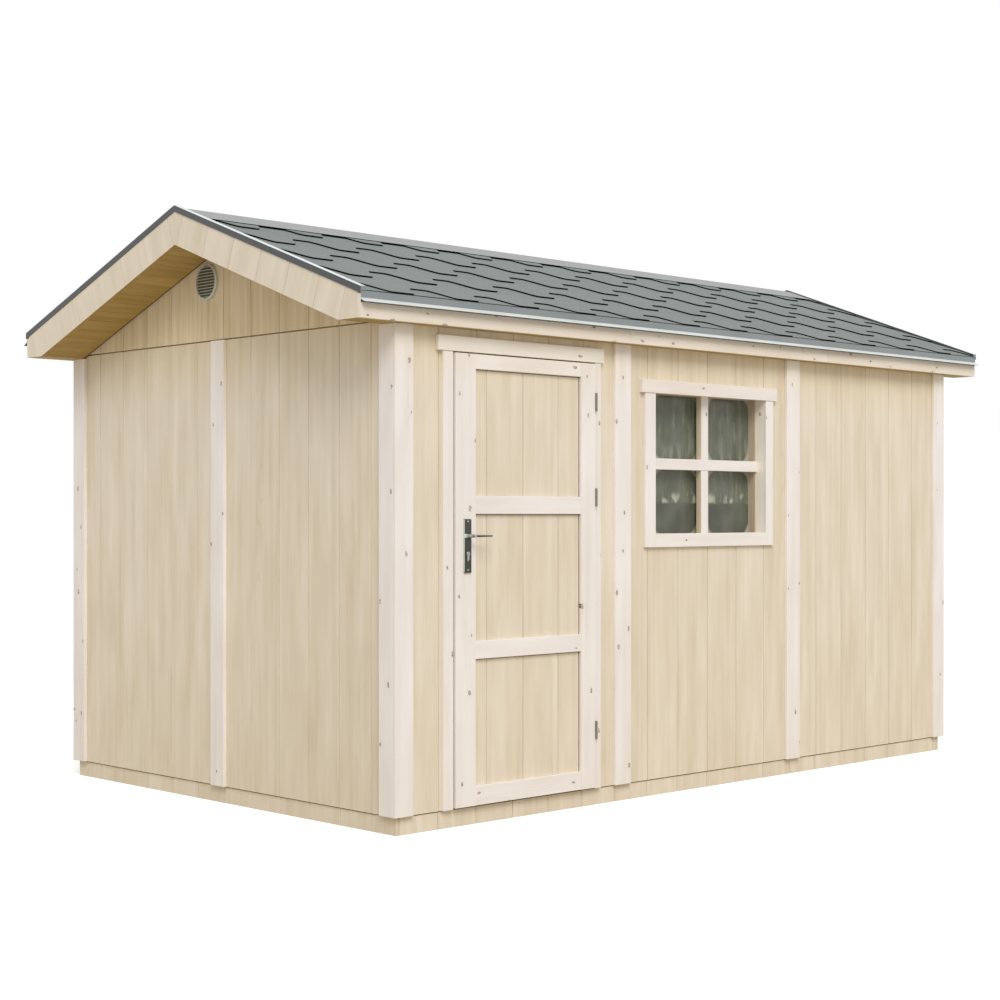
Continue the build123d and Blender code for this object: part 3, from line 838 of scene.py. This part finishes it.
def gable_soffits(side):
    """Boards under the overhang, a recessed strip painted dark as shade in the joint beside the wall, and
    the level board at the eave.
    """
    name = SIDES[side] + "_gable_soffits"
    drop = BARGE_DEPTH * slope_cos
    start = BARGE_DEPTH * slope_sin
    stop = level_cut_y * slope_cos + (ridge_z - eave_z) * slope_sin
    mesher = Mesher()
    for end in (-1, 1):
        xs = sorted([end * (barge_x - BARGE), end * (wall_end + SOFFIT_GAP)])
        plane = slope_plane(side, -drop)
        joints = joints_between(start, start, stop, SOFFIT_PITCH)
        clad(mesher, plane, box_outline(start, stop, *xs), joints, SOFFIT, groove=SOFFIT_GROOVE)
        ys = sorted([side * level_cut_y, side * (eave_y - BARGE)])
        plank(mesher, (xs[0], ys[0], eave_z), (xs[1], ys[1], eave_z + SOFFIT))
        xs = sorted([end * wall_end, end * (wall_end + SOFFIT_GAP)])
        plane = slope_plane(side, SOFFIT_STEP - drop)
        # The recessed strip in the joint, painted dark as shade.
        clad(mesher, plane, box_outline(start, stop, *xs), [], SOFFIT - SOFFIT_STEP, slot=1)
    mesher.piece(name + "_boards", [soffit_shade_wood, gap_shade_wood], name)


def fascias():
    low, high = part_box("eave_fascias")
    mesher = Mesher()
    for side in (-1, 1):
        outline = box_outline(low.x, high.x, low.z, timber_z(eave_y))
        plane = long_plane(side, high.y)
        clad(mesher, plane, outline, FASCIA_JOINTS, BARGE, grain="u", groove=FASCIA_GROOVE)
    mesher.piece("eave_fascia_boards", [fascia_wood], "eave_fascias")


for side in SIDES:
    roof_deck(side)
    barge_boards(side)
    gable_soffits(side)
fascias()


# Shingles
COURSE = 0.2713
FIRST_NOTCH = 0.106
TAB_REACH = 0.114
TAB_PITCH = 0.3360
TAB_START = -1.0980
NOTCH_FLAT = 0.072
TAB_SIDE = 0.098
TAB_FLAT = 0.088
TAB_RETURN = 0.078
THIN = 0.0005
BURIED = 0.0002
NOTCH_HEIGHT = 0.0068
FOOT_HEIGHT = 0.0074
EAVE_LAYER = 0.0020
STRIP_LAP = 0.06
COURSE_LAP = 0.03

# Ridge cap and sheet metal
CAP_SHEET = 0.004
CROWN_SOFT = 0.012
CROWN_YS = (-0.03, -0.015, -0.006, 0, 0.006, 0.015, 0.03)
FLASHING_LEG = 0.024
FLASHING_UPSTAND = 0.007
FLASHING_FOLD = 0.002
DRIP_SHEET = 0.003
DRIP_NOSE = 0.016
HEM = 0.003
FINE = 0.001
covering_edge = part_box("roof_covering_front")[0].y
eave_s = (-covering_edge - (DECK + COVERING) * slope_sin) / slope_cos


def tab_share(x):
    """How far a course's edge reaches down at x: 0 in a notch, 1 at a tab's foot."""
    place = (x - TAB_START) % TAB_PITCH
    if place < NOTCH_FLAT:
        return 0.0
    place -= NOTCH_FLAT
    if place < TAB_SIDE:
        share = place / TAB_SIDE
    elif place < TAB_SIDE + TAB_FLAT:
        return 1.0
    else:
        share = max(1 - (place - TAB_SIDE - TAB_FLAT) / TAB_RETURN, 0)
    return share * share * (3 - 2 * share)


def tab_columns(low, high, steps=8):
    marks = [0, NOTCH_FLAT]
    marks += [NOTCH_FLAT + TAB_SIDE * step / steps for step in range(1, steps + 1)]
    marks += [NOTCH_FLAT + TAB_SIDE + TAB_FLAT + TAB_RETURN * step / steps for step in range(steps + 1)]
    first = floor((low - TAB_START) / TAB_PITCH)
    last = ceil((high - TAB_START) / TAB_PITCH)
    columns = [TAB_START + number * TAB_PITCH + mark for number in range(first, last + 1) for mark in marks]
    inside = [x for x in columns if low + 10 * TINY < x < high - 10 * TINY]
    return [low] + sorted(set(round(x, 6) for x in inside)) + [high]


def shingles(side):
    """Overlapping courses with a waved lower edge, over one plain strip at the eave."""
    name = "roof_covering_" + SIDES[side]
    plane = slope_plane(side, DECK)
    columns = tab_columns(-barge_x, barge_x)
    mesher = Mesher()
    strip_top = eave_s - FIRST_NOTCH - STRIP_LAP
    strip = [(strip_top, BURIED), (strip_top, THIN * 0.9), (eave_s, EAVE_LAYER), (eave_s, BURIED)]
    loops = [[plane.at(s, x, h) for s, h in strip] for x in (-barge_x, barge_x)]
    mesher.loft(loops, [0, 0, 1, 0])
    notch = eave_s - FIRST_NOTCH
    while notch >= -TAB_REACH:
        top = max(notch - COURSE - COURSE_LAP, 0.0)
        rise_start = max(notch + TAB_REACH - COURSE, top + FINE)
        loops = []
        for x in columns:
            edge = min(notch + TAB_REACH * tab_share(x), eave_s)
            height = NOTCH_HEIGHT + (FOOT_HEIGHT - NOTCH_HEIGHT) * (edge - notch) / TAB_REACH
            profile = [(top, BURIED), (top, THIN), (rise_start, THIN), (notch - 2 * FINE, NOTCH_HEIGHT)]
            profile += [(edge, height), (edge, BURIED)]
            loops.append([plane.at(s, x, h) for s, h in profile])
        mesher.loft(loops, [0, 0, 0, 0, 1, 0])
        notch -= COURSE
    mesher.piece(name + "_shingles", [shingle_face, shingle_butt], name)


def ridge_cap():
    low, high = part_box("ridge_cap")
    half = high.y / slope_cos - (DECK + COVERING) * rise
    top = ridge_z + (DECK + COVERING + CAP_SHEET) / slope_cos
    planes = [slope_plane(side, DECK) for side in SIDES]
    loops = []
    for x in (low.x, high.x):
        outer = [plane.at(half, x, COVERING + CAP_SHEET) for plane in planes]
        inner = [plane.at(half, x, BURIED) for plane in planes]
        drops = [sqrt(y * y + CROWN_SOFT ** 2) - CROWN_SOFT * 0.2 for y in CROWN_YS]
        crown = [Vector((x, y, top - rise * drop)) for y, drop in zip(CROWN_YS, drops)]
        under = Vector((x, 0, ridge_z + (DECK + BURIED) / slope_cos))
        loops.append([inner[0], outer[0], *crown, outer[1], inner[1], under])
    mesher = Mesher()
    mesher.loft(loops, [1] + [0] * 8 + [1, 0, 0])
    mesher.piece("ridge_cap_strip", [cap_face, shingle_butt], "ridge_cap")


def gable_flashings():
    """A folded sheet over each rake: a dark face outside and a top on the roof painted pale as a highlight.
    """
    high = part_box("gable_flashings")[1]
    top = (DECK + COVERING + FLASHING_UPSTAND + high.x - barge_x) / slope_cos
    foot = (DECK + BURIED) / slope_cos
    leg_x = high.x - FLASHING_LEG
    section = [(barge_x, 0.0), (high.x, 0.0), (high.x, top - FLASHING_FOLD), (high.x - FLASHING_FOLD, top)]
    section += [(leg_x, top), (leg_x, foot), (barge_x, foot)]
    finishes = [flashing_face, flashing_top_highlight, drip_face]
    mesher = Mesher()
    for end in ENDS:
        loops = [[Vector((end * x, y, timber_z(y) + h)) for x, h in section] for y in (-high.y, 0, high.y)]
        mesher.loft(loops, [0, 0, 1, 1, 0, 0, 0], cap_slot=2)
    mesher.piece("gable_flashing_sheets", finishes, "gable_flashings")


def drip_edges():
    """A sheet down each eave fascia with a hemmed, outward-turned foot: the foot's upper side painted pale
    as a highlight, its underside painted dark as shade, the front ends pale and the back ends dark.
    """
    low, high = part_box("drip_edges")
    face_y = eave_y + DRIP_SHEET
    top = timber_z(eave_y) + (DECK - FINE) / slope_cos
    nose_z = low.z + DRIP_NOSE
    section = [(eave_y, low.z), (eave_y, top), (face_y, top - FINE), (face_y, nose_z)]
    section += [(high.y - FINE, low.z + HEM), (high.y, low.z + HEM / 2), (high.y - FINE, low.z)]
    section += [(high.y - 4 * FINE, low.z), (face_y, nose_z - 2 * HEM), (face_y - FINE, low.z)]
    finishes = [drip_face, drip_nose_highlight, flashing_face]
    mesher = Mesher()
    for side in SIDES:
        loops = [[Vector((x, side * y, z)) for y, z in section] for x in (low.x, high.x)]
        # Nose painted pale as highlight, the fold's underside dark as shade; front ends pale, back ends
        # dark.
        mesher.loft(loops, [0, 0, 0, 1, 1, 1, 1, 2, 2, 0], cap_slot=1 if side < 0 else 2)
    mesher.piece("drip_edge_sheets", finishes, "drip_edges")


for side in SIDES:
    shingles(side)
ridge_cap()
gable_flashings()
drip_edges()


# Door frame and door
JAMB = 0.028
STOP_WIDTH = 0.018
STOP_DEPTH = 0.020
STOP_GAP = 0.005
RAIL_SHADOW = 0.004
RAIL_EDGE = 0.0025
DOOR_JOINT = -1.3966
FURNITURE_HALF = 0.012
KNUCKLE_RADIUS = 0.004
KNUCKLE_EASE = 0.0012
FRAME_KNUCKLE = 0.039
HINGE_LEAF = 0.0024
HINGE_EDGE = 0.0005
frame_low, frame_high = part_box("door_frame")
leaf_low, leaf_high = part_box("door_panel")
door_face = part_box("door_stiles")[0].y
door_back = leaf_high.y
rib_back = leaf_low.y
spindle_low, spindle_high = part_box("spindle")
spindle = (spindle_low + spindle_high) / 2
lock_low, lock_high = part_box("lock_cylinder")
hinge = next(joint for joint in frame["joints"] if joint["name"] == "door_hinge")
hinge_x, hinge_y = hinge["pos_m"][:2]


def ring(mesher, low, high, width, foot=True, slot=0):
    """Boards round an opening: upright ones over the whole height, level ones between them."""
    left = low.x + width
    right = high.x - width
    plank(mesher, low, (left, high.y, high.z), slot=slot)
    plank(mesher, (right, low.y, low.z), high, slot=slot)
    for z in ((low.z, high.z - width) if foot else (high.z - width,)):
        plank(mesher, (left, low.y, z), (right, high.y, z + width), slot=slot)


def door_frame():
    mesher = Mesher()
    ring(mesher, frame_low, frame_high, JAMB, foot=False)
    stop_y = door_back + STOP_GAP
    low = Vector((frame_low.x + JAMB, stop_y, frame_low.z))
    high = Vector((frame_high.x - JAMB, stop_y + STOP_DEPTH, frame_high.z - JAMB))
    ring(mesher, low, high, STOP_WIDTH, foot=False)
    mesher.piece("door_frame_boards", [lining_wood], "door_frame")


def door_leaf():
    """Boards between the rails in front, whole boards behind, and a hole for the furniture."""
    left = spindle.x - FURNITURE_HALF
    right = spindle.x + FURNITURE_HALF
    furniture = square_hole(left, right, lock_low.z - HOLE_SLACK, spindle.z + FURNITURE_HALF)
    joints = joints_between(DOOR_JOINT, leaf_low.x, leaf_high.x)
    outline = box_outline(leaf_low.x, leaf_high.x, leaf_low.z, leaf_high.z)
    half = (door_back - rib_back) / 2
    mesher = Mesher()
    start = leaf_low.z
    infill_right = max(low.x for low, high in islands("door_stiles")) - RAIL_SHADOW
    for z in sorted(low.z for low, high in islands("door_rails"))[1:] + [leaf_high.z + RAIL_SHADOW]:
        bay = box_outline(leaf_low.x, infill_right, start, z - RAIL_SHADOW)
        beside = furniture if start < spindle.z < z else None
        clad(mesher, long_plane(-1, -rib_back), bay, joints, half, beside)
        start = z
    clad(mesher, long_plane(-1, -door_back, -1), outline, joints, half, furniture)
    mesher.piece("door_panel_boards", [wall_wood], "door_panel", "door")
    mesher = Mesher()
    for low, high in islands("door_stiles"):
        hole = furniture if low.x < spindle.x < high.x else None
        outline = box_outline(low.x, high.x, low.z, high.z)
        clad(mesher, long_plane(-1, -door_face), outline, [], rib_back - door_face, hole)
    mesher.piece("door_stile_boards", [trim_wood], "door_stiles", "door")
    planks("door_rails", trim_wood, "door", RAIL_EDGE)


def hinge_leaves(node, body):
    """A knuckle with eased ends and a leaf let into the gap, for each half hinge."""
    on_frame = body == "shed"
    radius = KNUCKLE_RADIUS
    ease = KNUCKLE_EASE
    mesher = Mesher()
    for low, high in islands(node):
        bottom = low.z
        top = bottom + FRAME_KNUCKLE if on_frame else high.z
        profile = [(0, bottom), (radius - ease, bottom), (radius, bottom + ease)]
        profile += [(radius, top - ease), (radius - ease, top), (0, top)]
        revolve(mesher, (hinge_x, hinge_y, 0), Z_AXIS, profile, 24)
        leaf_x = high.x - HINGE_LEAF if on_frame else low.x
        plank(mesher, (leaf_x, hinge_y, bottom), (leaf_x + HINGE_LEAF, high.y, top), HINGE_EDGE)
    mesher.piece(node + "_leaves", [hinge_metal], node, body, smooth=35)


door_frame()
door_leaf()
hinge_leaves("frame_hinges", "shed")
hinge_leaves("door_hinges", "door")


# Lever handle and lock
PLATE_SIDE = 0.0006
PLATE_EDGE = 0.0016
PLATE_BAND = 0.015
SCREW_RADIUS = 0.0035
SCREW_FROM_TOP = 0.009
SCREWS_FROM_FOOT = (0.050, 0.011)
LOCK_RADIUS = 0.0085
LOCK_DROP = 0.072
LOCK_LENGTH = 0.0616
NECK_RADIUS = 0.0075
GRIP_WIDE = 0.012
GRIP_TALL = 0.011
GRIP_TAPER = 0.004
GRIP_ENDS = 0.55
GRIP_STATIONS = (0.0, 0.04, 0.1, 0.2, 0.35, 0.5, 0.65, 0.8, 0.92, 0.985, 1.0)
SHARP = 0.0001


def screw(mesher, x, y, z, facing):
    """A raised head with a dark cross on it, painted as the shade of a cross recess."""
    radius = SCREW_RADIUS
    head = [(0, 0), (radius, 0), (radius, 0.0006), (radius * 0.7, 0.0012), (0, 0.0014)]
    revolve(mesher, (x, y, z), (0, facing, 0), head, 20, 1)
    near, far = sorted([y + facing * 0.0012, y + facing * 0.0016])
    for wide, tall in ((radius * 0.55, radius * 0.11), (radius * 0.11, radius * 0.55)):
        plank(mesher, (x - wide, near, z - tall), (x + wide, far, z + tall), SHARP, slot=2)


def handle_plates():
    """Two long plates with pale edges, a pale band behind the lever and three screws each."""
    mesher = Mesher()
    for low, high in islands("handle_plates"):
        facing = -1 if low.y < door_face else 1
        surface = low.y if facing < 0 else high.y
        inset = Vector((PLATE_SIDE, PLATE_SIDE, 0))
        plank(mesher, low + inset, high - inset, PLATE_EDGE)
        for x in (low.x, high.x - 2 * PLATE_SIDE):
            inset = Vector((0, 2 * PLATE_SIDE, 4 * PLATE_SIDE))
            near = Vector((x, low.y, low.z)) + inset
            far = Vector((x + 2 * PLATE_SIDE, high.y, high.z)) - inset
            plank(mesher, near, far, SHARP, slot=1)
        near = (low.x + PLATE_SIDE, low.y, spindle.z - PLATE_BAND / 2)
        far = (high.x - PLATE_SIDE, high.y, spindle.z + PLATE_BAND / 2)
        plank(mesher, near, far, 2 * SHARP, slot=1)
        for z in (high.z - SCREW_FROM_TOP, *(low.z + place for place in SCREWS_FROM_FOOT)):
            screw(mesher, spindle.x, surface - facing * PLATE_SIDE, z, facing)
    finishes = [dark_metal, edge_metal, painted_recess_shade]
    mesher.piece("handle_plate_pair", finishes, "handle_plates", "door", smooth=35)


def lock():
    """A barrel and its flat web, with a key slot painted dark as shade in each face."""
    x = spindle.x
    z = spindle.z - LOCK_DROP
    face = 0.0006
    inner = LOCK_RADIUS - face
    profile = [(0, 0), (inner, 0), (LOCK_RADIUS, face), (LOCK_RADIUS, LOCK_LENGTH - face)]
    profile += [(inner, LOCK_LENGTH), (0, LOCK_LENGTH)]
    mesher = Mesher()
    revolve(mesher, (x, lock_low.y + 0.0002, z), Y_AXIS, profile, 32)
    low = (x - 0.005, lock_low.y + 0.0004, lock_low.z)
    plank(mesher, low, (x + 0.005, lock_high.y - 0.0004, z), 0.0012)
    for y in (lock_low.y, lock_high.y - 0.0004):
        low = (x - 0.0008, y, z - 0.005)
        plank(mesher, low, (x + 0.0008, y + 0.0004, z + 0.005), SHARP, slot=1)
    finishes = [pale_metal, painted_recess_shade]
    mesher.piece("lock_barrel", finishes, "lock_cylinder", "door", smooth=35)


def rounded_section(centre, wide, tall, across, up, power=3.2, steps=20):
    """A soft-cornered loop round a centre."""
    loop = []
    for step in range(steps):
        turn = 2 * pi * step / steps
        c, s = cos(turn), sin(turn)
        a = copysign(abs(c) ** (2 / power), c) * wide / 2
        b = copysign(abs(s) ** (2 / power), s) * tall / 2
        loop.append(centre + across * a + up * b)
    return loop


def lever(node):
    """A round neck that turns into a tapering flat grip, the grip's top painted pale as a highlight."""
    low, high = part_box(node)
    facing = -1 if low.y < door_face else 1
    start = door_face if facing < 0 else door_back
    tip = low.y if facing < 0 else high.y
    reach = abs(tip - start)
    radius = NECK_RADIUS
    slim = radius * 0.93
    neck = [(0, 0), (radius, 0), (radius, reach * 0.62), (slim, reach * 0.66)]
    neck += [(slim, reach - 0.003), (radius * 0.75, reach), (0, reach)]
    mesher = Mesher()
    revolve(mesher, (spindle.x, start, spindle.z), (0, facing, 0), neck, 32, 1)
    loops = []
    for share in GRIP_STATIONS:
        ending = GRIP_ENDS if share in (0.0, 1.0) else 1.0
        wide = (GRIP_WIDE - GRIP_TAPER * share) * ending
        tall = (GRIP_TALL - GRIP_TAPER * share) * ending
        x = low.x + FINE + (high.x - low.x - FINE) * share
        y = tip - facing * (0.0062 + FINE * share)
        loops.append(rounded_section(Vector((x, y, spindle.z)), wide, tall, Y_AXIS, Z_AXIS))
    turns = [2 * pi * (step + 0.5) / len(loops[0]) for step in range(len(loops[0]))]
    # Painted highlight: the upper side of the grip takes the pale metal.
    mesher.loft(loops, [1 if sin(turn) > 0.25 else 0 for turn in turns])
    finishes = [dark_metal, pale_metal]
    mesher.piece(node + "_grip", finishes, node, "lever_handle", smooth=50)


handle_plates()
lock()
lever("outside_lever")
lever("inside_lever")


# Window
def window():
    """Lining and sash round the opening, the sash in a darker wood as painted shade, crossing bars with
    sides painted in shade, and the casing's three boards.
    """
    opening_low = window_low + Vector((LINING, 0, LINING))
    opening_high = window_high - Vector((LINING, 0, LINING))
    mesher = Mesher()
    ring(mesher, window_low, window_high, LINING)
    ring(mesher, Vector((opening_low.x, sash_front, opening_low.z)), opening_high, SASH, slot=1)
    mesher.piece("window_frame_boards", [lining_wood, sash_shade_wood], "window_frame")
    low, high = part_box("window_bars")
    half = BAR / 2
    mesher = Mesher()
    plank(mesher, (low.x, low.y, bar_z - half), (high.x, high.y, bar_z + half))
    left = bar_x - half
    right = bar_x + half
    for a, b in ((low.z, bar_z - half), (bar_z + half, high.z)):
        plank(mesher, (left + FINE, low.y + BAR_STRIP, a), (right - FINE, high.y, b))
        # Thin strips on each side of the upright bar, painted in a darker wood as shade.
        for x in (left, right - BAR_STRIP):
            near = (x, low.y + STRIP_SETBACK, a)
            plank(mesher, near, (x + BAR_STRIP, high.y - FINE, b), 2 * SHARP, slot=1)
    mesher.piece("window_bar_cross", [trim_wood, bar_side_shade_wood], "window_bars")
    low, high = casing_low, casing_high
    mesher = Mesher()
    plank(mesher, low, (opening_low.x, high.y, high.z))
    plank(mesher, (opening_high.x, low.y, low.z), high)
    plank(mesher, (opening_low.x, low.y, low.z), (opening_high.x, high.y, sill_z))
    mesher.piece("window_casing_boards", [trim_wood], "window_casing")


window()
for node, finish in (("spindle", pale_metal), ("window_glass", pane_glass)):
    nodes[node].data.materials.clear()
    nodes[node].data.materials.append(finish)


# Vents
VENT_WALL = 0.004
VENT_LIP = 0.009
LOUVRES = 11
LOUVRE_SECTION = ((-0.0095, 0.0016), (-0.0095, 0.0026), (-0.0012, -0.0010), (-0.0012, -0.0034))


def vents():
    """A rounded flange, a pipe through the gable, a back painted dark as shade, and slanted louvres across
    the mouth.
    """
    flange = (vent_high.z - vent_low.z) / 2
    mouth = flange - VENT_LIP
    face = vent_high.x - wall_end
    pipe = VENT_PIPE_RADIUS
    bore = pipe - VENT_WALL
    back = inner_end - wall_end
    profile = [(mouth, face - 0.010), (mouth, face - FINE), (mouth + FINE, face)]
    profile += [(flange - 0.006, face - FINE), (flange - FINE, face - 0.004), (flange, face - 0.007)]
    profile += [(flange, 0), (pipe, 0), (pipe, back), (bore, back)]
    profile += [(bore, face - 0.0115), (0, face - 0.0115), (0, face - 0.010)]
    mesher = Mesher()
    for end in ENDS:
        out = X_AXIS * end
        centre = Vector((end * wall_end, vent_centre.y, vent_centre.z))
        # The last side of the profile, the back behind the louvres, is painted dark as shade.
        revolve(mesher, centre, out, profile, 64, [0] * 12 + [1])
        for number in range(LOUVRES):
            z = -mouth + 2 * mouth / LOUVRES * (number + 0.5)
            half = sqrt(mouth ** 2 - z ** 2) - 0.0006
            loops = []
            for y in (-half, half):
                section = [out * (face + x) + Vector((0, y, z + h)) for x, h in LOUVRE_SECTION]
                loops.append([centre + point for point in section])
            mesher.loft(loops)
    finishes = [vent_plastic, vent_shade]
    mesher.piece("gable_vent_grilles", finishes, "gable_vents", smooth=40)


vents()


# Camera
camera = stand("camera", bpy.data.cameras.new("camera"))
camera.location = (-6.4001, -6.7073, 1.2486)
camera.rotation_euler = (radians(90), 0, radians(-44.979))
camera.data.lens = 65.88
camera.data.sensor_width = 36
camera.data.shift_x = -0.07297
camera.data.shift_y = 0.01499
bpy.context.scene.camera = camera


# Floor, light and background
FLOOR_LIFT = 0.25
FLOOR_BOUNCE = (0.5, 0.45, 0.33)
FLOOR_RADIUS = 8
FLOOR_Z = -0.0005
FADE = (3.2, 6.5)
WORLD_LIGHT = 0.68


def studio_floor():
    """A pale disc that keeps the shadow and fades out before the horizon."""
    g = material("studio_floor")
    far = g.length(g.place())
    seen = g.add("LightPath").outputs["Is Camera Ray"]
    tone = g.mix(seen, FLOOR_BOUNCE, (0.92, 0.92, 0.92))
    pale = g.add("BsdfDiffuse", {"Color": tone}).outputs[0]
    glow = g.add("Emission", {"Color": (1, 1, 1, 1), "Strength": FLOOR_LIFT}).outputs[0]
    dark = g.add("Emission", {"Strength": 0.0}).outputs[0]
    lift = g.add("MixShader", {0: seen, 1: dark, 2: glow}).outputs[0]
    both = g.add("AddShader", {0: pale, 1: lift}).outputs[0]
    clear = g.add("BsdfTransparent").outputs[0]
    fade = g.add("MixShader", {0: g.ramp(far, *FADE), 1: both, 2: clear}).outputs[0]
    g.add("OutputMaterial", {"Surface": fade})
    mesh = bpy.data.meshes.new("studio_floor")
    work = bmesh.new()
    bmesh.ops.create_circle(work, cap_ends=True, radius=FLOOR_RADIUS, segments=64)
    work.to_mesh(mesh)
    work.free()
    mesh.materials.append(g.owner)
    ground = stand("studio_floor", mesh)
    ground.location.z = FLOOR_Z
    ground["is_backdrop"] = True


def studio_world():
    """Soft even light; the camera, gloss and glass see white."""
    g = Graph(bpy.data.worlds.new("studio"))
    ray = g.add("LightPath").outputs
    plain = g.math("MAXIMUM", ray["Is Camera Ray"], ray["Is Glossy Ray"])
    plain = g.math("MAXIMUM", plain, ray["Is Transmission Ray"])
    light = g.add("Background", {"Color": (1, 1, 1, 1), "Strength": WORLD_LIGHT}).outputs[0]
    white = g.add("Background", {"Color": (1, 1, 1, 1), "Strength": 1.0}).outputs[0]
    choose = g.add("MixShader", {0: plain, 1: light, 2: white}).outputs[0]
    g.add("OutputWorld", {0: choose})
    bpy.context.scene.world = g.owner


def sun(name, strength, angle, heading, height):
    """A wide sun that shines from a heading (0 faces the front, 90 the right end) and a height."""
    lamp = bpy.data.lights.new(name, "SUN")
    lamp.energy = strength
    lamp.angle = radians(angle)
    lit = stand(name, lamp)
    lit.rotation_euler = (radians(90 - height), 0, radians(heading))


studio_floor()
studio_world()
sun("key", 1.80, 30, -31.5, 42)
bpy.context.scene.view_settings.view_transform = "Standard"

low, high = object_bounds()
